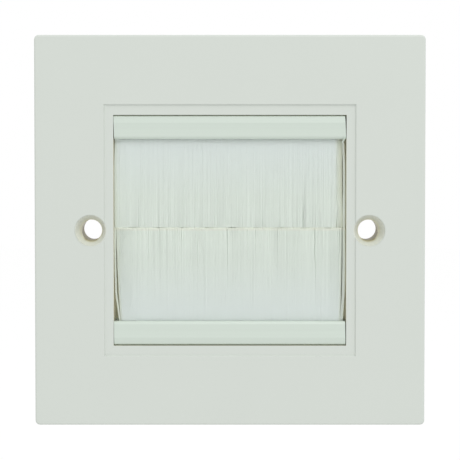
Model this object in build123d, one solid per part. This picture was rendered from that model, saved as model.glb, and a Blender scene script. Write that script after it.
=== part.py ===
from build123d import *

import math
import os

os.makedirs("parts", exist_ok=True)

# Brush wall plate for a single wall box, in millimetres.
# Seen from the room, +X is right and +Z is up. The plate faces -Y, and Y = 0 is the wall.
# The origin is midway between the two fixing holes, on the wall.

# Fixing holes of a single wall box, and the opening that the two brushes fill between them
hole_spacing = 60.3
opening_from_hole = 4.95
opening_height = 50.0

# Moulded face plate
plate_width = 85.0
plate_height = 85.0
side_draft_deg = 2.0
plate_corner_radius = 1.3
front_edge_radius = 0.45
front_wall = 2.6
skirt_wall = 2.2
collar_wall = 1.6

# Sunken border around the opening: its floor, then a sloped wall up to the face
recess_depth = 0.35
recess_slope_run = 0.22
border_at_sides = 1.85
border_at_ends = 2.1

# Fixing holes for 3.5 mm screws: a straight rim at the face, then a cone down to the shank hole
hole_radius = 2.3
cone_radius = 3.25
rim_radius = 3.43
rim_depth = 0.45
countersink_depth = 2.4
boss_radius = 4.5

# Stiffening ribs behind the face
rib_thickness = 1.0
rib_set_back = 3.0
rib_offset = 22.0

# Extruded rails, one above and one below the opening
rail_back_wall = 1.45
rail_depth = 6.35
brush_set_back = 2.6
rail_outer_radius = 0.5
rail_inner_radius = 0.75
rail_rear_radius = 0.4
rail_lip = 0.6
crest_height = 0.12
crest_from_outside = 1.6
outer_slope_drop = 0.32
inner_slope_run = 1.4
gap_over_top_rail = 0.08
gap_under_bottom_rail = 0.15

# How far each saw-cut rail end stays short of the opening's side
top_rail_cuts = {"left_outer": 0.03, "left_inner": 0.18, "right_outer": 0.30, "right_inner": 0.05}
bottom_rail_cuts = {"left_outer": 0.10, "left_inner": 0.04, "right_outer": 0.13, "right_inner": 0.20}

# Short ribs on the opening's wall that click into a groove along each rail
click_offset = 14.0
click_length = 6.0
click_thickness = 0.9
click_engagement = 0.3
groove_clearance = 0.15

# Steel channel crimped over the folded bristles and their core wire
channel_width = 3.4
channel_height = 3.0
channel_wall = 0.4
channel_clearance = 0.1
channel_end_clearance = 0.05
channel_from_side = 0.8
wire_radius = 0.5
wire_clearance = 0.03
wire_from_side = 1.0

# Bristles
pack_clearance = 0.05
mouth_clearance = 0.15
tip_thickness = 3.2
root_from_side = 0.9
tips_from_side = 0.3
top_strip_shift = -0.05
bottom_strip_shift = 0.35
meeting_height = 0.4
meeting_gap = 0.2
tuft_count = 60
ridge_height = 0.3
notch_width = 0.18
notch_length = 14.0
tip_unevenness = 0.08

# Rear frame that clips on behind the rails
frame_thickness = 1.6
frame_wall_gap = 0.2
frame_cover_sides = 2.0
frame_cover_ends = 4.0
frame_boss_clearance = 0.3

# Snap hooks of the rear frame, and the catches on the collar that they grip
hook_offset = 14.0
hook_width = 6.0
hook_thickness = 1.0
hook_nose_length = 1.3
hook_lead_in = 0.6
hook_clearance = 0.1
hook_nose_clearance = 0.15
catch_height = 0.6
catch_length = 1.0
catch_offset = 1.2

# Levels along Y, from the wall out to the face
frame_rear = -frame_wall_gap
frame_front = frame_rear - frame_thickness
rail_rear = frame_front
rail_front = rail_rear - rail_depth
face = rail_front - recess_depth
wall_inside = face + front_wall
brush_centre = rail_front + brush_set_back
plate_depth = -face

# Sizes that follow from the ones above
opening_width = hole_spacing - 2 * opening_from_hole
opening_x = opening_width / 2
opening_z = opening_height / 2
collar_x = opening_x + collar_wall
collar_z = opening_z + collar_wall
slot_width = channel_width + 2 * channel_clearance
slot_depth = channel_height + 2 * channel_end_clearance
rail_height = rail_back_wall + slot_depth + rail_lip
root_thickness = channel_width - 2 * channel_wall - 2 * pack_clearance
mouth_width = root_thickness + 2 * mouth_clearance
overlap = 0.5


def block(x, y, z):
    """A box between the two places given along each axis."""
    centre = Pos((x[0] + x[1]) / 2, (y[0] + y[1]) / 2, (z[0] + z[1]) / 2)
    return centre * Box(x[1] - x[0], y[1] - y[0], z[1] - z[0])


def prism(points, direction, length, radii=None):
    """A solid with this outline, drawn out in one direction, with a radius for each corner."""
    if radii is None:
        outline = Polyline(*points, close=True)
    else:
        outline = FilletPolyline(*points, radius=radii, close=True)
    return extrude(make_face(outline), amount=length, dir=direction)


def both_ways(places):
    """Each place with its mirror image."""
    return [sign * place for place in places for sign in (-1, 1)]


def screw_hole(x):
    """The space of one fixing hole: a straight shank hole that opens into a cone, with a rim at the face."""
    beyond = 1.0
    profile = Polyline(
        (0, beyond),
        (hole_radius, beyond),
        (hole_radius, face + countersink_depth),
        (cone_radius, face + rim_depth),
        (rim_radius, face + rim_depth),
        (rim_radius, face - beyond),
        (0, face - beyond),
        close=True,
    )
    return Pos(x, 0, 0) * revolve(make_face(profile), Axis.Y)


def recess():
    """The space of the sunken border, as wide as the opening and sloped at its edge."""
    floor_x = opening_x + border_at_sides
    floor_z = opening_z + border_at_ends
    beyond = 1.0
    spread = recess_slope_run * (recess_depth + beyond) / recess_depth

    def square(y, grow):
        corners = [(-1, -1), (1, -1), (1, 1), (-1, 1)]
        points = [(sx * (floor_x + grow), y, sz * (floor_z + grow)) for sx, sz in corners]
        return make_face(Polyline(*points, close=True))

    return loft([square(face + recess_depth, 0), square(face - beyond, spread)], ruled=True)


def plate_shell():
    """The open-backed shell of the face plate, with its front edge rounded."""
    outside = Plane.XZ * RectangleRounded(plate_width, plate_height, plate_corner_radius)
    shell = extrude(outside, amount=plate_depth, taper=side_draft_deg)
    shell = fillet(shell.faces().sort_by(Axis.Y)[0].edges(), front_edge_radius)
    inside = Plane.XZ * Rectangle(plate_width - 2 * skirt_wall, plate_height - 2 * skirt_wall)
    return shell - extrude(inside, amount=-wall_inside, taper=side_draft_deg)


def plate_ribs():
    """Ribs from the collar out to the skirt, and one beside each screw boss."""
    depth = (wall_inside - overlap, -rib_set_back)
    half = rib_thickness / 2
    skirt_x = plate_width / 2 - skirt_wall
    skirt_z = plate_height / 2 - skirt_wall
    boss_x = hole_spacing / 2
    ribs = []
    for side in (-1, 1):
        across = sorted((side * (collar_x - overlap), side * (skirt_x + overlap)))
        upright = sorted((side * (collar_z - overlap), side * (skirt_z + overlap)))
        beside_boss = sorted((side * (boss_x + hole_radius + overlap), side * (skirt_x + overlap)))
        for place in both_ways([rib_offset]):
            ribs.append(block(across, depth, (place - half, place + half)))
            ribs.append(block((place - half, place + half), depth, upright))
        ribs.append(block((-half, half), depth, upright))
        ribs.append(block(beside_boss, depth, (-half, half)))
    return ribs


def click_ribs():
    """Short ribs on the opening's upper and lower walls."""
    half = click_thickness / 2
    ribs = []
    for side, gap in ((1, gap_over_top_rail), (-1, gap_under_bottom_rail)):
        tip = side * (opening_z - gap - click_engagement)
        root = side * (opening_z + overlap)
        for place in both_ways([click_offset]):
            along = (place - click_length / 2, place + click_length / 2)
            depth = (brush_centre - half, brush_centre + half)
            ribs.append(block(along, depth, sorted((tip, root))))
    return ribs


def catches():
    """Ledges on the outside of the collar that the rear frame's hooks grip."""
    rear = frame_front - catch_offset
    ledges = []
    for side in (-1, 1):
        height = sorted((side * (collar_z - overlap), side * (collar_z + catch_height)))
        for place in both_ways([hook_offset]):
            along = (place - hook_width / 2, place + hook_width / 2)
            ledges.append(block(along, (rear - catch_length, rear), height))
    return ledges


def face_plate():
    """The moulded plate: shell, collar, bosses and ribs, with its opening and two screw holes."""
    inner_end = wall_inside - overlap
    plate = plate_shell()
    plate += block((-collar_x, collar_x), (inner_end, frame_front), (-collar_z, collar_z))
    for x in both_ways([hole_spacing / 2]):
        plate += Pos(x, 0, 0) * extrude(Plane.XZ * Circle(boss_radius), amount=-inner_end)
    for piece in plate_ribs() + catches():
        plate += piece
    beyond = 1.0
    plate -= block((-opening_x, opening_x), (face - beyond, beyond), (-opening_z, opening_z))
    plate -= recess()
    for x in both_ways([hole_spacing / 2]):
        plate -= screw_hole(x)
    for rib in click_ribs():
        plate += rib
    return plate


def snap_hook(side, place):
    """One hook of the rear frame: an arm past the catch, and a nose that drops in front of it."""
    arm_inner = collar_z + catch_height + hook_clearance
    arm_outer = arm_inner + hook_thickness
    nose_inner = collar_z + hook_nose_clearance
    nose_rear = frame_front - catch_offset - catch_length - hook_clearance
    nose_tip = nose_rear - hook_nose_length
    points = [
        (frame_rear, collar_z - overlap),
        (frame_rear, arm_outer),
        (nose_tip, arm_outer),
        (nose_tip, arm_inner),
        (nose_tip + hook_lead_in, nose_inner),
        (nose_rear, nose_inner),
        (nose_rear, arm_inner),
        (frame_front, arm_inner),
        (frame_front, collar_z - overlap),
    ]
    start = place - hook_width / 2
    return prism([(start, y, side * z) for y, z in points], (1, 0, 0), hook_width)


def rear_frame():
    """The flat frame behind the rails, with a window for cables and four snap hooks."""
    depth = (frame_front, frame_rear)
    window_x = opening_x - frame_cover_sides
    window_z = opening_z - frame_cover_ends
    frame = block((-collar_x, collar_x), depth, (-collar_z, collar_z))
    frame -= block((-window_x, window_x), depth, (-window_z, window_z))
    scallop = Plane.XZ * Circle(boss_radius + frame_boss_clearance)
    for x in both_ways([hole_spacing / 2]):
        frame -= Pos(x, 0, 0) * extrude(scallop, amount=-frame_front)
    for side in (-1, 1):
        for place in both_ways([hook_offset]):
            frame += snap_hook(side, place)
    return frame


class Strip:
    """The levels of one brush, measured from the rail's outer side towards the middle."""

    def __init__(self, side, gap, shift, phase):
        self.side = side
        self.outer = opening_z - gap
        self.shift = shift
        self.phase = phase
        self.channel_back = rail_back_wall + channel_end_clearance
        self.wire = self.channel_back + channel_wall + pack_clearance + root_thickness / 2
        self.tips = side * meeting_height + meeting_gap / 2

    def z(self, inward):
        """The height of a level that lies this far in from the rail's outer side."""
        return self.side * (self.outer - inward)


def between_saw_cuts(strip, cuts):
    """The space between the two saw cuts of a rail, each skewed across the rail's height."""
    beyond = 1.0
    levels = (-beyond, rail_height + beyond)

    def short(end, level):
        outer, inner = cuts[end + "_outer"], cuts[end + "_inner"]
        return outer + (inner - outer) * level / rail_height

    y = rail_front - beyond
    points = [(short("left", level) - opening_x, y, strip.z(level)) for level in levels]
    points += [(opening_x - short("right", level), y, strip.z(level)) for level in reversed(levels)]
    return prism(points, (0, 1, 0), rail_depth + 2 * beyond)


def rail(strip, cuts):
    """One extruded rail, with a lipped slot for the steel channel and skewed saw-cut ends."""
    slot_y = slot_width / 2
    mouth_y = mouth_width / 2
    groove_y = click_thickness / 2 + groove_clearance
    groove_depth = click_engagement + groove_clearance
    front = rail_front - brush_centre
    rear = rail_rear - brush_centre
    slope_foot = crest_from_outside + inner_slope_run
    # depth from the brush's middle plane, level inwards from the outer side, corner radius
    corners = [
        (front + outer_slope_drop, 0, rail_outer_radius),
        (front, crest_from_outside, 0),
        (front + crest_height, slope_foot, 0),
        (front + crest_height, rail_height, rail_inner_radius),
        (-mouth_y, rail_height, 0),
        (-mouth_y, rail_height - rail_lip, 0),
        (-slot_y, rail_height - rail_lip, 0),
        (-slot_y, rail_back_wall, 0),
        (slot_y, rail_back_wall, 0),
        (slot_y, rail_height - rail_lip, 0),
        (mouth_y, rail_height - rail_lip, 0),
        (mouth_y, rail_height, 0),
        (rear, rail_height, rail_rear_radius),
        (rear, 0, rail_rear_radius),
        (groove_y, 0, 0),
        (groove_y, groove_depth, 0),
        (-groove_y, groove_depth, 0),
        (-groove_y, 0, 0),
    ]
    points = [(-opening_x, brush_centre + y, strip.z(level)) for y, level, _ in corners]
    extrusion = prism(points, (1, 0, 0), opening_width, [radius for _, _, radius in corners])
    return extrusion & between_saw_cuts(strip, cuts)


def channel(strip):
    """The folded steel channel, open towards the middle of the plate."""
    half = channel_width / 2
    inner = half - channel_wall
    mouth = strip.channel_back + channel_height
    floor = strip.channel_back + channel_wall
    corners = [
        (-half, strip.channel_back),
        (half, strip.channel_back),
        (half, mouth),
        (inner, mouth),
        (inner, floor),
        (-inner, floor),
        (-inner, mouth),
        (-half, mouth),
    ]
    start = -opening_x + channel_from_side + strip.shift
    points = [(start, brush_centre + y, strip.z(level)) for y, level in corners]
    bend = channel_wall
    radii = [bend, bend, 0, 0, bend / 2, bend / 2, 0, 0]
    return prism(points, (1, 0, 0), opening_width - 2 * channel_from_side, radii)


def core_wire(strip, radius=wire_radius, from_side=wire_from_side):
    """The straight wire that the bristles are folded over."""
    start = -opening_x + from_side + strip.shift
    centre = Plane(origin=(start, brush_centre, strip.z(strip.wire)), z_dir=(1, 0, 0))
    return extrude(centre * Circle(radius), amount=opening_width - 2 * from_side)


def bristle_profile(strip):
    """The brush seen from its end: a fold around the wire, a neck, and a flare to the tips."""
    length = opening_width - 2 * root_from_side + 2 * overlap + 2 * abs(strip.shift)
    start = -length / 2 + strip.shift
    root, tip = root_thickness / 2, tip_thickness / 2
    beyond = strip.outer - strip.tips + 1.0
    outline = [
        (-root, strip.wire),
        (root, strip.wire),
        (root, rail_height),
        (tip, beyond),
        (-tip, beyond),
        (-root, rail_height),
    ]
    points = [(start, brush_centre + y, strip.z(level)) for y, level in outline]
    fold = core_wire(strip, root, root_from_side - overlap)
    space = core_wire(strip, wire_radius + wire_clearance, root_from_side - 2 * overlap)
    return prism(points, (1, 0, 0), length) + fold - space


def bristle_comb(strip):
    """The brush seen from the front: straight tufts with uneven ends, parted by narrow gaps."""
    root_x = opening_x - root_from_side
    tips_x = opening_x - tips_from_side
    pitch = 2 * tips_x / tuft_count
    y = brush_centre - tip_thickness
    head = strip.side * opening_z
    points = [(-root_x + strip.shift, y, head), (-root_x + strip.shift, y, strip.z(rail_height))]
    for i in range(tuft_count):
        left, right = i * pitch - tips_x, (i + 1) * pitch - tips_x
        first, last = i == 0, i == tuft_count - 1
        tip = strip.side * (strip.tips + tip_unevenness * math.sin(1.7 * i + strip.phase))
        points.append((left + (0 if first else notch_width / 2), y, tip))
        points.append((right - (0 if last else notch_width / 2), y, tip))
        if not last:
            part = 0.45 + 0.55 * abs(math.sin(2.4 * i + strip.phase))
            points.append((right, y, strip.side * (strip.tips + notch_length * part)))
    points += [(root_x + strip.shift, y, strip.z(rail_height)), (root_x + strip.shift, y, head)]
    return prism(points, (0, 1, 0), 2 * tip_thickness)


def bristle_ridges(strip):
    """The brush seen from its tips: one rounded-off ridge for each tuft, front and back."""
    tips_x = opening_x - tips_from_side
    pitch = 2 * tips_x / tuft_count
    crest = tip_thickness / 2
    valley = crest - ridge_height
    foot = -overlap * strip.side
    steps = range(2 * tuft_count + 1)
    row = [(i * pitch / 2 - tips_x, crest if i % 2 else valley) for i in steps]
    points = [(x, brush_centre - y, foot) for x, y in row]
    points += [(x, brush_centre + y, foot) for x, y in reversed(row)]
    return prism(points, (0, 0, strip.side), opening_z + overlap)


def bristles(strip):
    """One brush's bristles, as a slab with tufts."""
    return bristle_profile(strip) & bristle_comb(strip) & bristle_ridges(strip)


def save(name, shape):
    """Writes one piece as a STEP file of its own."""
    export_step(shape, os.path.join("parts", name + ".step"))


save("face_plate", face_plate())
save("rear_frame", rear_frame())

strips = {
    "top": (Strip(1, gap_over_top_rail, top_strip_shift, 0.0), top_rail_cuts),
    "bottom": (Strip(-1, gap_under_bottom_rail, bottom_strip_shift, 1.1), bottom_rail_cuts),
}
for place, (strip, cuts) in strips.items():
    save(place + "_rail", rail(strip, cuts))
    save(place + "_channel", channel(strip))
    save(place + "_core_wire", core_wire(strip))
    save(place + "_bristles", bristles(strip))
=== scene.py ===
import math

import bpy
import numpy as np
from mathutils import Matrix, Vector


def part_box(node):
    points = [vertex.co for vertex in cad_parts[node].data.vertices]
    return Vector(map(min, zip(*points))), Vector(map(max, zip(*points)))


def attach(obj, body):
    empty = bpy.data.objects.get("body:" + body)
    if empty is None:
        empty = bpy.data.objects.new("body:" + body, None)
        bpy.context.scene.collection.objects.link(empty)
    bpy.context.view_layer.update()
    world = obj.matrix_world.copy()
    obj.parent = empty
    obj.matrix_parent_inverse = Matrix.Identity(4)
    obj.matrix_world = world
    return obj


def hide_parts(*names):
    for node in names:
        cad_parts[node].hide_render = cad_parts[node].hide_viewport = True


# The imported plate, loaded as a fixed frame. +X is right, +Z is up, the plate faces -Y and Y = 0 is the wall.
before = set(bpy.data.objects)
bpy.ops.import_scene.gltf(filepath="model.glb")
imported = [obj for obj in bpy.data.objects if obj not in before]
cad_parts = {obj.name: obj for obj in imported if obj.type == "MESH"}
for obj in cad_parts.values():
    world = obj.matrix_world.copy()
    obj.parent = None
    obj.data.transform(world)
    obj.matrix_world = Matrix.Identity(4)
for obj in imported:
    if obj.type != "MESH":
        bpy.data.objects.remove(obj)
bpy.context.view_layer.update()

bl_info = {
    "name": "Brush Wall Plate",
    "version": (1, 0, 0),
    "blender": (4, 5, 0),
    "location": "3D View > Sidebar > Wall Plate",
    "description": "Finishes a brush wall plate: moulding, rails, bristles, steel strip and a plain studio",
    "category": "Object",
}

MM = 0.001

# All sizes below are in millimetres, unless they say otherwise.

# Half the distance between the two fixing holes, how far in front of the wall the brushes' middle plane lies,
# and the height at which the two brushes meet
HOLE_X = 30.15
BRUSH_CENTRE = 5.55
MEETING_Z = 0.6
# Half the width and height of the opening, and a little more, so that its walls lie inside
OPENING_X, OPENING_Z = 25.3, 25.1


# Colours, nodes and patterns

# Where painted light and shade start and where they are full. In a fixing hole, the distance from its axis and
# the depth: for the countersink and for the bore, where warm light is painted, and for the bore's painted
# shade at its end, which comes sooner along its underside
CONE_RADII, CONE_DEPTHS = (3.45, 3.35), (-8.3, -8.0)
BORE_RADII, BORE_DEPTHS = (2.8, 2.3), (-7.3, -6.0)
BORE_END_DEPTHS, UNDERSIDE_SLOPE = (-3.6, -2.6), 1.8
# On the opening's walls, where warm light is painted, the depth at their front and at their rear
OPENING_FRONT, OPENING_REAR = (-8.1, -7.6), (-1.6, -1.7)
# On the filaments: the distance from mid-height towards their roots, for painted cool shade, the height on the
# lower brush and of its cut ends, for a painted glow, and the distance from the brushes' middle plane, for
# painted warm shade inside the brush
ROOT_HEIGHTS = (7.0, 18.0)
LOWER_HEIGHTS = (-5.0, 0.0)
END_HEIGHTS = (MEETING_Z - 0.9, MEETING_Z - 0.3)
INNER_DEPTHS = (1.2, 0.8)
# A tint that stops at a line fades out over this much
LINE = 0.01


def linear(hex_colour):
    """An sRGB colour such as D6DBD2 as the linear red, green, blue and alpha that a shader takes."""
    channels = [int(hex_colour[i : i + 2], 16) / 255 for i in (0, 2, 4)]
    return (*(c / 12.92 if c <= 0.04045 else ((c + 0.055) / 1.055) ** 2.4 for c in channels), 1.0)


def add(tree, kind, inputs=None, **settings):
    """One shader node, with its settings, and its inputs as values or as links from other nodes' outputs."""
    made = tree.nodes.new(kind)
    for name, value in settings.items():
        setattr(made, name, value)
    for name, value in (inputs or {}).items():
        if isinstance(value, bpy.types.NodeSocket):
            tree.links.new(value, made.inputs[name])
        else:
            made.inputs[name].default_value = value
    return made


def share_inside(tree, *limits):
    """How far a place lies inside limits, each a length, where it starts to count and where it is full.

    It is 0 where any length is short of its start, 1 where all are full, and rises evenly in between.
    """
    inside = 1.0
    for length, start, full in limits:
        inputs = {"Value": length, "From Min": start * MM, "From Max": full * MM, "To Max": inside}
        inside = add(tree, "ShaderNodeMapRange", inputs).outputs["Result"]
    return inside


def painted(tree, colour, *coats):
    """A colour with more colours over it, each on its own share of the surface."""
    for share, coat in coats:
        inputs = {"Factor": share, "A": colour, "B": coat}
        colour = add(tree, "ShaderNodeMix", inputs, data_type="RGBA").outputs["Result"]
    return colour


def stretched(tree, x_mm, y_mm, z_mm):
    """Object coordinates in which one unit is this many millimetres along each axis."""
    place = add(tree, "ShaderNodeTexCoord").outputs["Object"]
    scale = tuple(1 / (size * MM) for size in (x_mm, y_mm, z_mm))
    return add(tree, "ShaderNodeMapping", {"Vector": place, "Scale": scale}).outputs["Vector"]


def start_material(name):
    """A new material with an empty node tree."""
    material = bpy.data.materials.new(name)
    material.use_nodes = True
    material.node_tree.nodes.clear()
    return material, material.node_tree


def moulded_abs(finish):
    """White ABS, injection moulded in a lightly eroded steel tool.

    It gives an even satin skin: a very shallow ripple breaks up reflections, and the polish varies a little
    over areas of about a centimetre where the melt cooled at different speeds. The tool's real grain is too
    fine to show, so the ripple is drawn 0.7 mm across. The two fixing holes with their countersinks and the
    walls of the opening have painted warm light, for the light that reaches them through the plastic. The
    holes' bores have painted shade, darker towards the wall, and sooner along their undersides.
    """
    material, tree = start_material("moulded_abs_white")
    place = add(tree, "ShaderNodeTexCoord").outputs["Object"]
    depth = add(tree, "ShaderNodeSeparateXYZ", {"Vector": place}).outputs["Y"]
    mirrored = add(tree, "ShaderNodeVectorMath", {0: place}, operation="ABSOLUTE").outputs["Vector"]
    off_middle = add(tree, "ShaderNodeSeparateXYZ", {"Vector": mirrored}).outputs
    flat = add(tree, "ShaderNodeVectorMath", {0: mirrored, 1: (1, 0, 1)}, operation="MULTIPLY")
    from_hole = {0: flat.outputs["Vector"], 1: (HOLE_X * MM, 0, 0)}
    radius = add(tree, "ShaderNodeVectorMath", from_hole, operation="DISTANCE").outputs["Value"]
    along_slope = {0: place, 1: (0, 1, -UNDERSIDE_SLOPE)}
    sloped = add(tree, "ShaderNodeVectorMath", along_slope, operation="DOT_PRODUCT").outputs["Value"]
    in_opening = share_inside(
        tree,
        (off_middle["X"], OPENING_X + LINE, OPENING_X),
        (off_middle["Z"], OPENING_Z + LINE, OPENING_Z),
        (depth, *OPENING_FRONT),
        (depth, *OPENING_REAR),
    )
    in_cone = share_inside(tree, (radius, *CONE_RADII), (depth, *CONE_DEPTHS))
    bore = ((radius, *BORE_RADII), (depth, *BORE_DEPTHS))

    ripple_mm, drift_mm = 0.7, 11.0
    ripple = add(
        tree,
        "ShaderNodeTexNoise",
        {"Vector": stretched(tree, ripple_mm, ripple_mm, ripple_mm), "Scale": 1.0, "Detail": 3.0},
    )
    drift = add(
        tree,
        "ShaderNodeTexNoise",
        {"Vector": stretched(tree, drift_mm, drift_mm, drift_mm), "Scale": 1.0, "Detail": 2.0},
    )
    # The moulding's random tone, with painted warm light on the opening's walls, in the countersinks and at
    # the front of the bores, and painted shade deep in the bores
    tint = painted(
        tree,
        finish.plate_shade,
        (drift.outputs["Fac"], finish.plate_colour),
        (in_opening, finish.opening_wall_painted_light),
        (in_cone, finish.cone_painted_light),
        (share_inside(tree, *bore), finish.bore_front_painted_light),
        (share_inside(tree, *bore, (sloped, *BORE_END_DEPTHS)), finish.bore_painted_shade),
    )
    polish = add(
        tree, "ShaderNodeMapRange", {"Value": drift.outputs["Fac"], "To Min": 0.36, "To Max": 0.46}
    )
    skin = add(
        tree,
        "ShaderNodeBump",
        {"Height": ripple.outputs["Fac"], "Strength": 0.35, "Distance": 0.012 * MM},
    )
    shader = add(
        tree,
        "ShaderNodeBsdfPrincipled",
        {
            "Base Color": tint,
            "Roughness": polish.outputs["Result"],
            "IOR": 1.53,
            "Normal": skin.outputs["Normal"],
        },
    )
    add(tree, "ShaderNodeOutputMaterial", {"Surface": shader.outputs["BSDF"]})
    return material


def extruded_pvc(finish):
    """White rigid PVC, extruded through a die and sawn to length.

    It gives faint straight lines along the rail and dull sawn ends. Real die lines are finer, and are drawn
    0.35 mm apart so that they show.
    """
    material, tree = start_material("extruded_pvc_white")
    line_mm, line_length_mm = 0.35, 60.0
    lines = add(
        tree,
        "ShaderNodeTexNoise",
        {"Vector": stretched(tree, line_length_mm, line_mm, line_mm), "Scale": 1.0, "Detail": 2.0},
    )
    saw_mm, saw_length_mm = 0.12, 2.0
    teeth = add(
        tree,
        "ShaderNodeTexNoise",
        {"Vector": stretched(tree, saw_mm, saw_length_mm, saw_mm), "Scale": 1.0, "Detail": 2.0},
    )
    normal = add(tree, "ShaderNodeNewGeometry").outputs["True Normal"]
    facing = add(tree, "ShaderNodeVectorMath", {0: normal}, operation="ABSOLUTE").outputs["Vector"]
    sawn = add(tree, "ShaderNodeSeparateXYZ", {"Vector": facing}).outputs["X"]
    relief = add(
        tree, "ShaderNodeMix", {"Factor": sawn, "A": lines.outputs["Fac"], "B": teeth.outputs["Fac"]}
    )
    polish = add(tree, "ShaderNodeMapRange", {"Value": sawn, "To Min": 0.32, "To Max": 0.6})
    skin = add(
        tree,
        "ShaderNodeBump",
        {"Height": relief.outputs["Result"], "Strength": 0.4, "Distance": 0.01 * MM},
    )
    shader = add(
        tree,
        "ShaderNodeBsdfPrincipled",
        {
            "Base Color": painted(tree, finish.rail_shade, (lines.outputs["Fac"], finish.rail_colour)),
            "Roughness": polish.outputs["Result"],
            "IOR": 1.54,
            "Normal": skin.outputs["Normal"],
        },
    )
    add(tree, "ShaderNodeOutputMaterial", {"Surface": shader.outputs["BSDF"]})
    return material


def nylon_filament(finish):
    """Natural nylon 6 monofilament, drawn, crimped and cut.

    It gives a milky, slightly waxy strand that lets some light through, with painted cool shade towards the
    root, where the strands lie close, and each strand is a shade lighter or darker than the next. Inside the
    brush they have painted warm shade, for the light that gets there through other strands. The upper ends of
    the lower brush have a painted glow, for light that enters at their cut faces, and their last half
    millimetre a cream painted glow, for light that has run along the strand.
    """
    material, tree = start_material("nylon_filament_white")
    strand_mm, strand_length_mm = 0.25, 40.0
    strands = add(
        tree,
        "ShaderNodeTexNoise",
        {"Vector": stretched(tree, strand_mm, strand_mm, strand_length_mm), "Scale": 1.0, "Detail": 1.0},
    )
    place = add(tree, "ShaderNodeTexCoord").outputs["Object"]
    height = add(tree, "ShaderNodeSeparateXYZ", {"Vector": place}).outputs["Z"]
    to_centre = {0: place, 1: (0, BRUSH_CENTRE * MM, 0)}
    centred = add(tree, "ShaderNodeVectorMath", to_centre, operation="ADD").outputs["Vector"]
    mirrored = add(tree, "ShaderNodeVectorMath", {0: centred}, operation="ABSOLUTE").outputs["Vector"]
    off_middle = add(tree, "ShaderNodeSeparateXYZ", {"Vector": mirrored}).outputs
    lower = (height, MEETING_Z + LINE, MEETING_Z)
    # The strands' random tone, with painted cool shade at the roots, a painted glow at the lower brush's cut
    # ends and painted warm shade inside the brush
    tint = painted(
        tree,
        finish.bristle_shade,
        (strands.outputs["Fac"], finish.bristle_colour),
        (share_inside(tree, (off_middle["Z"], *ROOT_HEIGHTS)), finish.bristle_root_painted_shade),
        (share_inside(tree, lower, (height, *LOWER_HEIGHTS)), finish.bristle_cut_painted_glow),
        (share_inside(tree, lower, (height, *END_HEIGHTS)), finish.bristle_end_painted_glow),
        (share_inside(tree, (off_middle["Y"], *INNER_DEPTHS)), finish.bristle_inner_painted_shade),
    )
    shader = add(
        tree,
        "ShaderNodeBsdfPrincipled",
        {
            "Base Color": tint,
            "Roughness": 0.42,
            "IOR": 1.53,
            "Subsurface Weight": 0.3,
            "Subsurface Radius": (1.0, 1.0, 1.0),
            "Subsurface Scale": 0.3 * MM,
        },
    )
    add(tree, "ShaderNodeOutputMaterial", {"Surface": shader.outputs["BSDF"]})
    return material


def galvanised_steel():
    """Thin steel strip, hot-dip galvanised and folded. It gives dull grey zinc crystals 2 to 4 mm across."""
    material, tree = start_material("galvanised_steel")
    spangle_mm = 3.0
    spangle = add(
        tree,
        "ShaderNodeTexVoronoi",
        {"Vector": stretched(tree, spangle_mm, spangle_mm, spangle_mm), "Scale": 1.0},
    )
    tone = add(tree, "ShaderNodeSeparateColor", {"Color": spangle.outputs["Color"]}).outputs
    polish = add(tree, "ShaderNodeMapRange", {"Value": tone["Green"], "To Min": 0.38, "To Max": 0.58})
    shader = add(
        tree,
        "ShaderNodeBsdfPrincipled",
        {
            "Base Color": painted(tree, linear("A3A7AA"), (tone["Red"], linear("BDC1C4"))),
            "Roughness": polish.outputs["Result"],
            "Metallic": 1.0,
        },
    )
    add(tree, "ShaderNodeOutputMaterial", {"Surface": shader.outputs["BSDF"]})
    return material


def drawn_wire():
    """Bright drawn steel wire.

    It gives fine straight scratches along the wire. Real ones are finer, and are drawn 0.1 mm apart so that
    they show.
    """
    material, tree = start_material("drawn_steel_wire")
    scratch_mm, scratch_length_mm = 0.1, 8.0
    scratches = add(
        tree,
        "ShaderNodeTexNoise",
        {"Vector": stretched(tree, scratch_length_mm, scratch_mm, scratch_mm), "Scale": 1.0, "Detail": 2.0},
    )
    skin = add(
        tree,
        "ShaderNodeBump",
        {"Height": scratches.outputs["Fac"], "Strength": 0.3, "Distance": 0.01 * MM},
    )
    shader = add(
        tree,
        "ShaderNodeBsdfPrincipled",
        {
            "Base Color": painted(tree, linear("8F9194"), (scratches.outputs["Fac"], linear("B4B6B8"))),
            "Roughness": 0.28,
            "Metallic": 1.0,
            "Normal": skin.outputs["Normal"],
        },
    )
    add(tree, "ShaderNodeOutputMaterial", {"Surface": shader.outputs["BSDF"]})
    return material


# How strongly the studio's paper glows for the camera, and the share of its look that the glow makes up
PAPER_GLOW, GLOW_SHARE = 1.07, 0.8


def studio_paper():
    """Matt white paper. It looks plain white to the camera, yet takes a little of the plate's shadow."""
    material, tree = start_material("studio_paper_white")
    paper = add(tree, "ShaderNodeBsdfDiffuse", {"Color": linear("F4F4F4")}).outputs[0]
    glow = add(tree, "ShaderNodeEmission", {"Color": linear("FFFFFF"), "Strength": PAPER_GLOW}).outputs[0]
    shown = add(tree, "ShaderNodeMath", {0: seen_directly(tree), 1: GLOW_SHARE}, operation="MULTIPLY")
    mix = add(tree, "ShaderNodeMixShader", {"Fac": shown.outputs[0], 1: paper, 2: glow})
    add(tree, "ShaderNodeOutputMaterial", {"Surface": mix.outputs[0]})
    return material


def seen_directly(tree):
    """1 for a ray from the camera, or one that gloss or a clear material has passed on, and 0 for others."""
    ray = add(tree, "ShaderNodeLightPath").outputs
    seen = ray["Is Camera Ray"]
    for passed_on in ("Is Glossy Ray", "Is Transmission Ray"):
        seen = add(tree, "ShaderNodeMath", {0: seen, 1: ray[passed_on]}, operation="MAXIMUM").outputs[0]
    return seen


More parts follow.
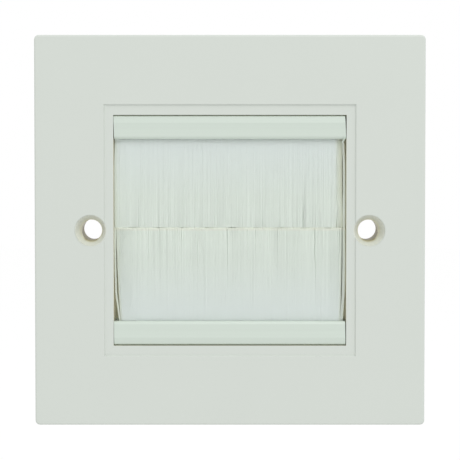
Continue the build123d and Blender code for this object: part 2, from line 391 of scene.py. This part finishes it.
def dress(node_name, material):
    """Gives a CAD node a material."""
    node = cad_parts[node_name]
    node.data.materials.clear()
    node.data.materials.append(material)


def deselect_all():
    """Leaves nothing selected or active, because an operator acts on all that is selected."""
    if bpy.context.object and bpy.context.object.mode != "OBJECT":
        bpy.ops.object.mode_set(mode="OBJECT")
    bpy.ops.object.select_all(action="DESELECT")
    bpy.context.view_layer.objects.active = None


def shade_with_sharp_ends(obj, is_end):
    """Shades a piece in edit mode smooth up to the sharp edges of its ends, picked by centre and normal."""
    bpy.ops.mesh.select_all(action="SELECT")
    bpy.ops.mesh.faces_shade_smooth()
    bpy.ops.mesh.select_all(action="DESELECT")
    bpy.ops.object.mode_set(mode="OBJECT")
    for face in obj.data.polygons:
        face.select = is_end(face.center, face.normal)
    bpy.ops.object.mode_set(mode="EDIT")
    bpy.ops.mesh.mark_sharp()


# Sizes and colours that a user would change


class PlateFinish(bpy.types.PropertyGroup):
    plate_colour: bpy.props.FloatVectorProperty(
        name="Plate colour",
        description="Lighter tone of the moulding",
        subtype="COLOR",
        size=4,
        min=0,
        max=1,
        default=linear("D2D8D1"),
    )
    plate_shade: bpy.props.FloatVectorProperty(
        name="Plate shade",
        description="Darker tone of the moulding",
        subtype="COLOR",
        size=4,
        min=0,
        max=1,
        default=linear("D0D6CF"),
    )
    # Painted warm light in the countersinks
    cone_painted_light: bpy.props.FloatVectorProperty(
        name="Countersink colour",
        description="Tone of the moulding in the countersinks",
        subtype="COLOR",
        size=4,
        min=0,
        max=1,
        default=linear("DEE1D6"),
    )
    # Painted warm light at the front of the fixing holes' bores
    bore_front_painted_light: bpy.props.FloatVectorProperty(
        name="Bore front colour",
        description="Tone of the moulding at the front of the fixing holes' bores",
        subtype="COLOR",
        size=4,
        min=0,
        max=1,
        default=linear("E8E6CC"),
    )
    # Painted shade deep in the fixing holes and along their undersides
    bore_painted_shade: bpy.props.FloatVectorProperty(
        name="Bore colour",
        description="Tone of the moulding deep in the fixing holes and along their undersides",
        subtype="COLOR",
        size=4,
        min=0,
        max=1,
        default=linear("8A7E40"),
    )
    # Painted warm light on the walls of the opening
    opening_wall_painted_light: bpy.props.FloatVectorProperty(
        name="Opening wall colour",
        description="Tone of the moulding on the walls of the opening",
        subtype="COLOR",
        size=4,
        min=0,
        max=1,
        default=linear("E2DCC0"),
    )
    rail_colour: bpy.props.FloatVectorProperty(
        name="Rail colour",
        description="Lighter tone of the extruded rails",
        subtype="COLOR",
        size=4,
        min=0,
        max=1,
        default=linear("CFDAD0"),
    )
    rail_shade: bpy.props.FloatVectorProperty(
        name="Rail shade",
        description="Darker tone of the extruded rails",
        subtype="COLOR",
        size=4,
        min=0,
        max=1,
        default=linear("CCD7CD"),
    )
    bristle_colour: bpy.props.FloatVectorProperty(
        name="Bristle colour",
        description="Lighter tone of the filaments",
        subtype="COLOR",
        size=4,
        min=0,
        max=1,
        default=linear("EFF8EF"),
    )
    bristle_shade: bpy.props.FloatVectorProperty(
        name="Bristle shade",
        description="Darker tone of the filaments",
        subtype="COLOR",
        size=4,
        min=0,
        max=1,
        default=linear("EAF4EA"),
    )
    # Painted cool shade on the filaments near the rail
    bristle_root_painted_shade: bpy.props.FloatVectorProperty(
        name="Bristle root colour",
        description="Tone of the filaments near the rail",
        subtype="COLOR",
        size=4,
        min=0,
        max=1,
        default=linear("EDF6F2"),
    )
    # Painted glow of the lower filaments near their cut ends
    bristle_cut_painted_glow: bpy.props.FloatVectorProperty(
        name="Bristle cut colour",
        description="Tone of the lower filaments near their cut ends",
        subtype="COLOR",
        size=4,
        min=0,
        max=1,
        default=linear("F2FCF1"),
    )
    # Painted cream glow at the lower filaments' cut ends
    bristle_end_painted_glow: bpy.props.FloatVectorProperty(
        name="Bristle end colour",
        description="Tone of the lower filaments' cut ends",
        subtype="COLOR",
        size=4,
        min=0,
        max=1,
        default=linear("F6FCEE"),
    )
    # Painted warm shade on the filaments inside the brush
    bristle_inner_painted_shade: bpy.props.FloatVectorProperty(
        name="Bristle inner colour",
        description="Tone of the filaments inside the brush",
        subtype="COLOR",
        size=4,
        min=0,
        max=1,
        default=linear("E5EBDA"),
    )


class BrushSizes(bpy.types.PropertyGroup):
    filament_diameter: bpy.props.FloatProperty(
        name="Filament diameter",
        description="Thickness of one nylon filament",
        unit="LENGTH",
        default=0.19 * MM,
        min=0.05 * MM,
        max=0.5 * MM,
        precision=5,
    )
    spacing: bpy.props.FloatProperty(
        name="Filament spacing",
        description="From one filament to the next in a layer, where they leave the rail",
        unit="LENGTH",
        default=0.18 * MM,
        min=0.15 * MM,
        max=1 * MM,
        precision=5,
    )
    clumping: bpy.props.FloatProperty(
        name="Clumping",
        description="How far the tips draw together into clumps",
        subtype="FACTOR",
        default=0.04,
        min=0,
        max=0.5,
    )
    lean: bpy.props.FloatProperty(
        name="Lean",
        description="How far a filament's tip usually strays to one side",
        unit="LENGTH",
        default=0.02 * MM,
        min=0,
        max=0.5 * MM,
        precision=5,
    )
    loose_share: bpy.props.FloatProperty(
        name="Loose filaments",
        description="Share of the filaments that lie askew",
        subtype="FACTOR",
        default=0.01,
        min=0,
        max=1,
    )
    unevenness: bpy.props.FloatProperty(
        name="Uneven ends",
        description="How far the cut ends differ in height",
        unit="LENGTH",
        default=0.05 * MM,
        min=0,
        max=0.3 * MM,
        precision=5,
    )


class StudioSettings(bpy.types.PropertyGroup):
    camera_distance: bpy.props.FloatProperty(
        name="Camera distance",
        description="From the camera to the face of the plate",
        unit="LENGTH",
        default=0.27,
        min=0.1,
    )
    camera_tilt: bpy.props.FloatProperty(
        name="Camera tilt",
        description="How far the camera looks down",
        unit="ROTATION",
        default=math.radians(1.5),
    )
    camera_aim: bpy.props.FloatVectorProperty(
        name="Camera aim",
        description="Point of the face that the camera points at",
        unit="LENGTH",
        default=(0.021 * MM, -8.5 * MM, 9.1 * MM),
    )
    focal_length: bpy.props.FloatProperty(
        name="Focal length",
        description="In millimetres, for a sensor 36 mm wide",
        unit="CAMERA",
        default=97.89,
        min=10,
    )
    frame_shift: bpy.props.FloatProperty(
        name="Vertical shift",
        description="Lens shift as a share of the frame's width",
        default=-0.09,
    )
    sky_level: bpy.props.FloatProperty(
        name="Sky level",
        description="Brightness of the even light from all round",
        default=0.77,
        min=0,
    )
    lamp_power: bpy.props.FloatProperty(
        name="Lamp power",
        description="Power of the soft box above and in front",
        unit="POWER",
        default=9.0,
        min=0,
    )


# The rails

# The burr that the saw left hanging at the top rail's lower right corner: its thickness and its number of
# sides, how far from the rail's end, behind its front and above its lower edge it starts, how tightly, how
# far round and how far back it curls, in how many steps, each one thinner by this factor, the share of its
# radius within which its corners are merged, and the angle from which its edges are sharp
BURR_THICKNESS, BURR_SIDES = 0.3, 8
BURR_FROM_END, BURR_BEHIND_FRONT, BURR_ABOVE_EDGE = 0.42, 0.18, 0.45
BURR_CURL, BURR_TURN_DEG, BURR_LEANS_BACK = 1.3, 55.0, 0.3
BURR_STEPS, BURR_TAPER = 6, 0.92
BURR_MERGE, BURR_EDGE_DEG = 0.01, 40.0


def model_burr():
    """A curl of swarf, drawn out thinner towards its end."""
    deselect_all()
    low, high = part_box("top_rail")
    radius = BURR_THICKNESS / 2 * MM
    from_end, behind, above = (size * MM for size in (BURR_FROM_END, BURR_BEHIND_FRONT, BURR_ABOVE_EDGE))
    start = Vector((high.x - from_end, low.y + behind, low.z + above))
    bpy.ops.mesh.primitive_circle_add(vertices=BURR_SIDES, radius=radius, fill_type="NGON", location=start)
    burr = bpy.context.object
    burr.name = "top_rail_burr"
    bpy.ops.object.transform_apply(location=True, rotation=True, scale=True)
    bpy.ops.object.mode_set(mode="EDIT")
    bpy.ops.mesh.select_all(action="SELECT")
    bpy.ops.mesh.extrude_region_move(TRANSFORM_OT_translate={"value": (0, 0, -radius)})
    hinge = start + Vector((-BURR_CURL * MM, 0, -radius))
    turn = -math.radians(BURR_TURN_DEG / BURR_STEPS)
    for _ in range(BURR_STEPS):
        bpy.ops.mesh.spin(steps=1, angle=turn, center=hinge, axis=(0, 1, 0))
        bpy.ops.transform.resize(value=(BURR_TAPER, BURR_TAPER, BURR_TAPER))
        bpy.ops.transform.translate(value=(0, BURR_LEANS_BACK / BURR_STEPS * MM, 0))
    bpy.ops.mesh.select_all(action="SELECT")
    bpy.ops.mesh.remove_doubles(threshold=BURR_MERGE * radius)
    bpy.ops.mesh.normals_make_consistent(inside=False)
    bpy.ops.object.mode_set(mode="OBJECT")
    bpy.ops.object.shade_smooth_by_angle(angle=math.radians(BURR_EDGE_DEG))
    deselect_all()
    return burr


# The brushes

# Each layer of filaments, from the outside in: how far it lies from the brush's middle plane, where it is
# folded over the wire and at the tips
LAYERS = ((1.14, 1.44), (1.0, 1.3), (0.86, 1.16))
# The radius at which the model of one filament is folded over the wire, its sides, the steps of its fold and
# the share of its own radius within which its corners are merged
FOLD_RADIUS = 0.9
FILAMENT_SIDES = 4
FOLD_STEPS = 3
FILAMENT_MERGE = 0.1
# Heights that differ by less than this, in metres, are the same
SAME_HEIGHT = 1e-9
# Half the thickness of the inner bundle, at the rail and at the tips, its flutes and how much they and its
# ends stray, how far off the wire it starts, the level at which it ends, and its rows of faces
BUNDLE_ROOT, BUNDLE_TIP = 0.72, 1.04
FLUTE, FLUTE_STRAY = 0.04, 0.015
BUNDLE_UNEVENNESS = 0.05
BUNDLE_OFF_WIRE, BUNDLE_END = 0.7, MEETING_Z - 0.03
BUNDLE_ROWS = 12
# The bends of a filament, as shares of the way from its tip to the rail's mouth
LEG_LEVELS = (0.18, 0.42, 0.7, 1.0)
# Shares of the way from the rail's mouth to the tips at which a sideways path is given
PATH_LEVELS = (0.0, 0.25, 0.5, 0.75, 1.0)
# Slow sideways waves that all layers share: their size and their length along the brush
WAVES = ((0.08, 9.0), (0.04, 4.3))
# How far the cut ends of both brushes drop from left to right, as a slope, and their wave
TIPS_SLOPE = 0.003
TIPS_WAVE, TIPS_WAVE_LENGTH = 0.04, 5.3
# A bevelled cut rises over this depth behind the brush's front
BEVEL_DEPTH = 0.26
# The share of the way to the tips at which they start to bend back towards the middle plane, where they do
TUCK_START = 0.82
# The clumps that the tips draw into: how wide they are, and how strongly they draw, up to twice the usual
CLUMP_WIDTHS, CLUMP_PULLS = (0.5, 1.9), (0, 2)
# How unevenly filaments lie: a slow swell outwards, its length along the brush and the range of its phase,
# and how far single filaments stray in depth, bow sideways, and lean if they are loose
SWELL, SWELL_LENGTH, SWELL_PHASES = 0.02, 2.3, (0, 6)
OWN_DEPTH, OWN_BOW, LOOSE_LEAN = 0.004, 0.006, 0.35
# As shares of the spacing: where a layer's first filament is, how much further in it is on every second
# layer, and how far each one strays from its even place
FIRST_START, LAYER_STAGGER, OWN_START = 0.25, 0.5, 0.06
# How late on its way down a filament leans, and how early a layer spreads outwards, as powers of that way
LEAN_POWER, SPREAD_POWER = 2.5, 0.8
# No filament goes further out than this, because the opening's wall is there
WALL_REACH = 25.1
# How far in from an end the brush's own lean there has faded out
EDGE_REACH = 3.0

# The shape of each brush. A splay is a stray tuft at an end: the end it is at (-1 left, 1 right), from and to
# how far in it starts, how far it bends outwards on its way to the tips, and how much it widens. An edge is
# how far the brush itself leans outwards there. A rounding gives places further and further in from an end,
# and the share of its full depth that the brush has at each. The tips' level is where the front is cut, a
# bevel is how steeply the cut rises behind it, and a tuck is how far the tips bend back.
BRUSHES = {
    "top": {
        "root": (-25.0, 24.85),
        "bundle": (-24.0, 22.7),
        "tips": MEETING_Z - 0.03,
        "bevel": 0.0,
        "tuck": 0.25,
        "clumping": 0.9,
        "seed": 11,
        "splays": (
            (1, 0.0, 0.45, (0.0, 0.2, 0.25, 0.25, 0.25), 1.0),
            (1, 0.45, 1.7, (0.0, -0.12, -0.22, 0.0, 0.3), 1.25),
        ),
        "edges": ((-1, (0.0, 0.1, 0.1, 0.1, 0.1)), (1, (0.0, 0.0, 0.0, 0.1, 0.2))),
        "roundings": (
            (-1, (0.0, 0.5), (0.88, 1.0)),
            (1, (0.0, 0.44, 0.5, 2.2), (0.85, 0.85, 0.55, 1.0)),
        ),
    },
    "bottom": {
        "root": (-24.06, 24.62),
        "bundle": (-23.3, 23.6),
        "tips": MEETING_Z - 0.28,
        "bevel": 1.0,
        "tuck": 0.0,
        "clumping": 0.15,
        "seed": 23,
        "splays": (
            (-1, 0.0, 0.3, (0.08, 0.85, 1.0, 1.03, 1.05), 1.3),
            (1, 0.0, 0.55, (0.0, 0.38, 0.48, 0.48, 0.48), 1.0),
        ),
        "edges": ((-1, (0.05, 0.42, 0.72, 0.9, 1.05)), (1, (0.0, 0.12, 0.2, 0.22, 0.24))),
        "roundings": (
            (-1, (0.0, 0.3, 0.8), (0.8, 0.8, 1.0)),
            (1, (0.0, 0.54, 0.6, 1.0), (0.9, 0.9, 0.8, 1.0)),
        ),
    },
}


class BrushPlan:
    """Where one brush starts, bends and ends, in metres, from its packed wire and rail and its shape."""

    def __init__(self, place):
        shape = BRUSHES[place]
        wire_low, wire_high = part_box(place + "_core_wire")
        rail_low, rail_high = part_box(place + "_rail")
        self.wire_y = (wire_low.y + wire_high.y) / 2
        self.wire_z = (wire_low.z + wire_high.z) / 2
        self.side = math.copysign(1, self.wire_z)
        self.mouth_z = rail_low.z if self.side > 0 else rail_high.z
        self.tips_z = shape["tips"] * MM
        self.left, self.right = (x * MM for x in shape["root"])
        self.bundle_left, self.bundle_right = (x * MM for x in shape["bundle"])
        self.bevel = shape["bevel"]
        self.tuck = shape["tuck"] * MM
        self.clumping = shape["clumping"]
        self.splays = shape["splays"]
        self.edges = shape["edges"]
        self.roundings = shape["roundings"]
        self.random = np.random.default_rng(shape["seed"])
        self.phases = self.random.uniform(0, 2 * math.pi, len(WAVES))

    def fall(self, z):
        """How far down a filament a height is: 0 at the rail's mouth and above, 1 at the tips."""
        return np.clip((self.mouth_z - z) / (self.mouth_z - self.tips_z), 0, 1)

    def inward(self, end, x):
        """How far in from one end of the root a place is, in millimetres."""
        return ((x - self.left) if end < 0 else (self.right - x)) / MM

    def drift(self, x, s):
        """How far sideways the whole brush has moved at a place along it and a share of the way down."""
        moved = sum(
            size * MM * np.sin(2 * math.pi * x / (length * MM) + phase)
            for (size, length), phase in zip(WAVES, self.phases)
        )
        moved = moved * s**2
        for end, path in self.edges:
            fade = np.clip(1 - self.inward(end, x) / EDGE_REACH, 0, 1)
            moved = moved + end * MM * fade * np.interp(s, PATH_LEVELS, path)
        return moved

    def fullness(self, x):
        """How thick the brush is along its length: 1, and less where an end is rounded."""
        share = np.ones_like(x)
        for end, places, shares in self.roundings:
            share *= np.interp(self.inward(end, x), places, shares)
        return share

    def tucked(self, s):
        """How far a share of the way down the filaments have bent back towards the middle plane."""
        return self.tuck * np.clip((s - TUCK_START) / (1 - TUCK_START), 0, 1)

    def tip_level(self, x):
        """How far the cut ends lie from the plan's level, where the cut slopes and waves."""
        wave = TIPS_WAVE * MM * np.sin(2 * math.pi * x / (TIPS_WAVE_LENGTH * MM) + self.phases[0])
        return wave - TIPS_SLOPE * x

    def bevel_rise(self, depth, front):
        """How much higher a point is cut than at the brush's front, if its front is bevelled."""
        behind = LAYERS[0][1] * MM - depth if front else np.full_like(depth, BEVEL_DEPTH * MM)
        return self.bevel * np.clip(behind, 0, BEVEL_DEPTH * MM)


def model_filament(plan, radius, fold_radius):
    """One filament: up from its front tip, round the wire and down to its rear tip."""
    deselect_all()
    bpy.ops.mesh.primitive_circle_add(
        vertices=FILAMENT_SIDES,
        radius=radius,
        fill_type="NGON",
        location=(0, plan.wire_y - fold_radius, plan.tips_z),
    )
    filament = bpy.context.object
    bpy.ops.object.transform_apply(location=True, rotation=True, scale=True)
    bpy.ops.object.mode_set(mode="EDIT")
    bpy.ops.mesh.select_all(action="SELECT")
    up = [plan.tips_z + (plan.mouth_z - plan.tips_z) * share for share in LEG_LEVELS] + [plan.wire_z]
    down = up[-2::-1] + [plan.tips_z]
    reached = plan.tips_z
    for level in up:
        bpy.ops.mesh.extrude_region_move(TRANSFORM_OT_translate={"value": (0, 0, level - reached)})
        reached = level
    bpy.ops.mesh.spin(
        steps=FOLD_STEPS,
        angle=-math.pi * plan.side,
        center=(0, plan.wire_y, plan.wire_z),
        axis=(1, 0, 0),
    )
    for level in down:
        bpy.ops.mesh.extrude_region_move(TRANSFORM_OT_translate={"value": (0, 0, level - reached)})
        reached = level
    bpy.ops.mesh.select_all(action="SELECT")
    bpy.ops.mesh.remove_doubles(threshold=FILAMENT_MERGE * radius)
    bpy.ops.mesh.normals_make_consistent(inside=False)
    shade_with_sharp_ends(filament, lambda centre, normal: abs(centre.z - plan.tips_z) < radius)
    bpy.ops.object.mode_set(mode="OBJECT")
    return filament


def read_points(mesh):
    """A mesh's vertices as rows of x, y and z."""
    flat = np.empty(len(mesh.vertices) * 3)
    mesh.vertices.foreach_get("co", flat)
    return flat.reshape(-1, 3)


def clump_lean(random, x, pull):
    """How far each filament's tip is drawn sideways towards the middle of its clump."""
    narrow, wide = (width * MM for width in CLUMP_WIDTHS)
    edges = [x.min() - wide]
    while edges[-1] < x.max() + wide:
        edges.append(edges[-1] + random.uniform(narrow, wide))
    edges = np.array(edges)
    index = np.searchsorted(edges, x) - 1
    centre = (edges[index] + edges[index + 1]) / 2
    strength = pull * random.uniform(*CLUMP_PULLS, len(edges))[index]
    return (centre - x) * strength


def splay(plan, x, s):
    """Sideways bends of the stray tufts at a brush's two ends, and which filaments are in one."""
    moved = np.zeros((len(x), len(s)))
    stray = np.zeros(len(x), bool)
    for end, start, stop, path, widening in plan.splays:
        inward = plan.inward(end, x)
        members = (inward >= start) & (inward < stop)
        from_middle = (start + stop) / 2 - inward[members]
        bend = np.interp(s, PATH_LEVELS, path)
        moved[members] = end * MM * (bend[None, :] + np.outer(from_middle, (widening - 1) * s))
        stray |= members
    return moved, stray


def place_leg(plan, sizes, x, fold, tip, points, front):
    """Places the front or the rear leg of every filament of a layer, each bent and cut differently."""
    random = plan.random
    count = len(x)
    sign = -1 if front else 1
    s = plan.fall(points[:, 2])
    splayed, stray = splay(plan, x, s)
    lean = clump_lean(random, x, sizes.clumping * plan.clumping) + random.normal(0, sizes.lean, count)
    loose = random.uniform(0, 1, count) < sizes.loose_share
    lean = lean + loose * random.normal(0, LOOSE_LEAN * MM, count)
    bow = random.normal(0, OWN_BOW * MM, count)
    own = np.outer(lean, s**LEAN_POWER) + np.outer(bow, np.sin(math.pi * s))
    drift = plan.drift(x[:, None], s[None, :])
    sideways = np.where(stray[:, None], splayed, drift) + own
    swell = SWELL * MM * np.sin(2 * math.pi * x / (SWELL_LENGTH * MM) + random.uniform(*SWELL_PHASES))
    swell = swell + random.normal(0, OWN_DEPTH * MM, count)
    spread = fold + (tip - fold) * s[None, :] ** SPREAD_POWER
    depth = spread - plan.tucked(s)[None, :] + np.outer(swell, s)
    depth = depth * plan.fullness(x)[:, None] + sign * points[None, :, 1]
    uneven = plan.tip_level(x) + random.normal(0, sizes.unevenness, count)
    cut = uneven[:, None] + plan.bevel_rise(depth, front)
    placed = np.empty((count, len(points), 3))
    limit = WALL_REACH * MM
    placed[:, :, 0] = np.clip(x[:, None] + sideways, -limit, limit) + points[None, :, 0]
    placed[:, :, 1] = plan.wire_y + sign * depth
    placed[:, :, 2] = points[None, :, 2] + cut * s[None, :]
    return placed


def place_layer(plan, sizes, layer, points, fold_radius):
    """The vertices of every filament of one layer."""
    random = plan.random
    fold, tip = (depth * MM for depth in LAYERS[layer])
    count = round((plan.right - plan.left) / sizes.spacing)
    stray = random.uniform(-OWN_START, OWN_START, count)
    steps = np.arange(count) + FIRST_START + LAYER_STAGGER * (layer % 2) + stray
    x = plan.left + (plan.right - plan.left) * steps / count
    off_y, off_z = points[:, 1] - plan.wire_y, points[:, 2] - plan.wire_z
    bend = off_z * plan.side > SAME_HEIGHT
    placed = np.empty((count, len(points), 3))
    for front in (True, False):
        leg = ~bend & ((off_y < 0) == front)
        own = points[leg].copy()
        own[:, 1] = off_y[leg] + (fold_radius if front else -fold_radius)
        placed[:, leg] = place_leg(plan, sizes, x, fold, tip, own, front)
    reach = fold + np.hypot(off_y[bend], off_z[bend]) - fold_radius
    angle = np.arctan2(off_z[bend], off_y[bend])
    placed[:, bend, 0] = x[:, None] + points[bend, 0]
    placed[:, bend, 1] = plan.wire_y + reach * np.cos(angle)
    placed[:, bend, 2] = plan.wire_z + reach * np.sin(angle)
    return placed


def model_bundle(plan, spacing):
    """The inner filaments as one closed bundle with a fluted surface, which the outer layers lie on."""
    deselect_all()
    left, width = plan.bundle_left, plan.bundle_right - plan.bundle_left
    top = plan.wire_z - plan.side * BUNDLE_OFF_WIRE * MM
    bottom = BUNDLE_END * MM
    columns = 2 * round(width / spacing)
    bpy.ops.mesh.primitive_grid_add(
        x_subdivisions=columns,
        y_subdivisions=BUNDLE_ROWS,
        size=1.0,
        location=((left + plan.bundle_right) / 2, plan.wire_y - BUNDLE_ROOT * MM, (top + bottom) / 2),
        rotation=(math.pi / 2, 0, 0),
    )
    bundle = bpy.context.object
    bundle.scale = (width, abs(top - bottom), 1.0)
    bpy.ops.object.transform_apply(location=True, rotation=True, scale=True)
    bpy.ops.object.mode_set(mode="EDIT")
    bpy.ops.mesh.select_all(action="SELECT")
    bpy.ops.mesh.extrude_region_move(TRANSFORM_OT_translate={"value": (0, 2 * BUNDLE_ROOT * MM, 0)})
    bpy.ops.mesh.select_all(action="SELECT")
    bpy.ops.mesh.normals_make_consistent(inside=False)
    shade_with_sharp_ends(bundle, lambda centre, normal: abs(normal.y) < 0.1)
    bpy.ops.object.mode_set(mode="OBJECT")

    points = read_points(bundle.data)
    x, sign = points[:, 0].copy(), np.sign(points[:, 1] - plan.wire_y)
    s = plan.fall(points[:, 2])
    column = np.round((x - left) / width * columns).astype(int)
    flute = FLUTE * MM * (-1.0) ** column + plan.random.normal(0, FLUTE_STRAY * MM, columns + 1)[column]
    cut = plan.random.normal(0, BUNDLE_UNEVENNESS * MM, columns + 1)[column]
    half = (BUNDLE_ROOT + (BUNDLE_TIP - BUNDLE_ROOT) * s) * MM - plan.tucked(s) + flute
    points[:, 0] = x + plan.drift(x, s)
    points[:, 1] = plan.wire_y + sign * half
    points[:, 2] += (cut + plan.tip_level(x)) * s
    bundle.data.vertices.foreach_set("co", points.ravel())
    return bundle


def make_brush(place, sizes, material):
    """One brush of loose filaments over an inner bundle, which stands for the plain slab of the CAD."""
    plan = BrushPlan(place)
    fold_radius = FOLD_RADIUS * MM
    template = model_filament(plan, sizes.filament_diameter / 2, fold_radius)
    points = read_points(template.data)
    layers = [place_layer(plan, sizes, layer, points, fold_radius) for layer in range(len(LAYERS))]
    bundle = model_bundle(plan, sizes.spacing)
    deselect_all()
    for placed in np.concatenate(layers):
        mesh = template.data.copy()
        mesh.vertices.foreach_set("co", placed.ravel())
        filament = bpy.data.objects.new(place + "_filament", mesh)
        bpy.context.collection.objects.link(filament)
        filament.select_set(True)
    bpy.data.objects.remove(template)
    bundle.select_set(True)
    bpy.context.view_layer.objects.active = bundle
    bpy.ops.object.join()
    brush = bpy.context.object
    brush.name = place + "_brush_filaments"
    brush.data.materials.append(material)
    deselect_all()
    return brush


# The studio, in metres: the floor's width and height, the soft box's place and width, and the nearest that
# the camera sees. The camera's sensor is in millimetres
FLOOR_WIDTH, FLOOR_Z = 8.0, -0.3
LAMP_PLACE, LAMP_WIDTH = (0.42, -1.0, 1.18), 1.0
CLIP_START = 0.01
SENSOR_WIDTH = 36.0


# Operators


class WALLPLATE_OT_moulding(bpy.types.Operator):
    """Finish the face plate and the rear frame as moulded ABS"""

    bl_idname = "wallplate.moulding"
    bl_label = "Moulded plate and frame"

    def execute(self, context):
        material = moulded_abs(context.scene.plate_finish)
        for name in ("face_plate", "rear_frame"):
            dress(name, material)
        return {"FINISHED"}


class WALLPLATE_OT_rails(bpy.types.Operator):
    """Finish the two rails as extruded PVC, with the burr that the saw left"""

    bl_idname = "wallplate.rails"
    bl_label = "Extruded rails"

    def execute(self, context):
        material = extruded_pvc(context.scene.plate_finish)
        for name in ("top_rail", "bottom_rail"):
            dress(name, material)
        burr = model_burr()
        burr.data.materials.append(material)
        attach(burr, "root")
        return {"FINISHED"}


class WALLPLATE_OT_steel(bpy.types.Operator):
    """Finish the folded channels and the core wires"""

    bl_idname = "wallplate.steel"
    bl_label = "Channels and core wires"

    def execute(self, context):
        strip, wire = galvanised_steel(), drawn_wire()
        for place in ("top", "bottom"):
            dress(place + "_channel", strip)
            dress(place + "_core_wire", wire)
        return {"FINISHED"}


class WALLPLATE_OT_brushes(bpy.types.Operator):
    """Model the two brushes filament by filament"""

    bl_idname = "wallplate.brushes"
    bl_label = "Brushes"

    def execute(self, context):
        material = nylon_filament(context.scene.plate_finish)
        for place in ("top", "bottom"):
            brush = make_brush(place, context.scene.brush_sizes, material)
            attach(brush, "root")
            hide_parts(place + "_bristles")
        return {"FINISHED"}


class WALLPLATE_OT_studio(bpy.types.Operator):
    """Set up the floor, the soft light and the camera"""

    bl_idname = "wallplate.studio"
    bl_label = "Studio"

    def execute(self, context):
        studio = context.scene.studio_settings
        deselect_all()
        bpy.ops.mesh.primitive_plane_add(size=FLOOR_WIDTH, location=(0, 0, FLOOR_Z))
        floor = context.object
        floor.name = "studio_floor"
        floor.data.materials.append(studio_paper())

        bpy.ops.object.light_add(type="AREA", location=LAMP_PLACE)
        lamp = context.object
        lamp.name = "soft_box"
        lamp.data.shape = "SQUARE"
        lamp.data.size = LAMP_WIDTH
        lamp.data.energy = studio.lamp_power
        lamp.rotation_euler = (-lamp.location).to_track_quat("-Z", "Y").to_euler()

        world = bpy.data.worlds.new("studio_white")
        context.scene.world = world
        world.use_nodes = True
        tree = world.node_tree
        tree.nodes.clear()
        white = linear("FFFFFF")
        light = add(tree, "ShaderNodeBackground", {"Color": white, "Strength": studio.sky_level}).outputs[0]
        shown = add(tree, "ShaderNodeBackground", {"Color": white, "Strength": 1.0}).outputs[0]
        mix = add(tree, "ShaderNodeMixShader", {"Fac": seen_directly(tree), 1: light, 2: shown})
        add(tree, "ShaderNodeOutputWorld", {"Surface": mix.outputs[0]})

        back = Vector((0, -math.cos(studio.camera_tilt), math.sin(studio.camera_tilt)))
        bpy.ops.object.camera_add(location=Vector(studio.camera_aim) + back * studio.camera_distance)
        camera = context.object
        camera.name = "front_camera"
        camera.rotation_euler = (math.pi / 2 - studio.camera_tilt, 0, 0)
        camera.data.sensor_width = SENSOR_WIDTH
        camera.data.lens = studio.focal_length
        camera.data.shift_y = studio.frame_shift
        camera.data.clip_start = CLIP_START
        context.scene.camera = camera
        context.scene.view_settings.view_transform = "Standard"
        return {"FINISHED"}


class WALLPLATE_PT_panel(bpy.types.Panel):
    """Lists the steps that finish the wall plate"""

    bl_idname = "WALLPLATE_PT_panel"
    bl_label = "Brush wall plate"
    bl_space_type = "VIEW_3D"
    bl_region_type = "UI"
    bl_category = "Wall Plate"

    def draw(self, context):
        layout = self.layout
        for operator in OPERATORS:
            layout.operator(operator.bl_idname)
        for group in GROUPS:
            settings = getattr(context.scene, group)
            for name in settings.bl_rna.properties.keys():
                if name not in ("rna_type", "name"):
                    layout.prop(settings, name)


GROUPS = {"plate_finish": PlateFinish, "brush_sizes": BrushSizes, "studio_settings": StudioSettings}
OPERATORS = (
    WALLPLATE_OT_moulding,
    WALLPLATE_OT_rails,
    WALLPLATE_OT_steel,
    WALLPLATE_OT_brushes,
    WALLPLATE_OT_studio,
)


def register():
    for cls in (*GROUPS.values(), *OPERATORS, WALLPLATE_PT_panel):
        bpy.utils.register_class(cls)
    for name, group in GROUPS.items():
        setattr(bpy.types.Scene, name, bpy.props.PointerProperty(type=group))


def unregister():
    for name in GROUPS:
        delattr(bpy.types.Scene, name)
    for cls in (WALLPLATE_PT_panel, *reversed(OPERATORS), *reversed(GROUPS.values())):
        bpy.utils.unregister_class(cls)


def main():
    register()
    bpy.ops.wallplate.moulding()
    bpy.ops.wallplate.rails()
    bpy.ops.wallplate.steel()
    bpy.ops.wallplate.brushes()
    bpy.ops.wallplate.studio()


if __name__ == "__main__":
    main()
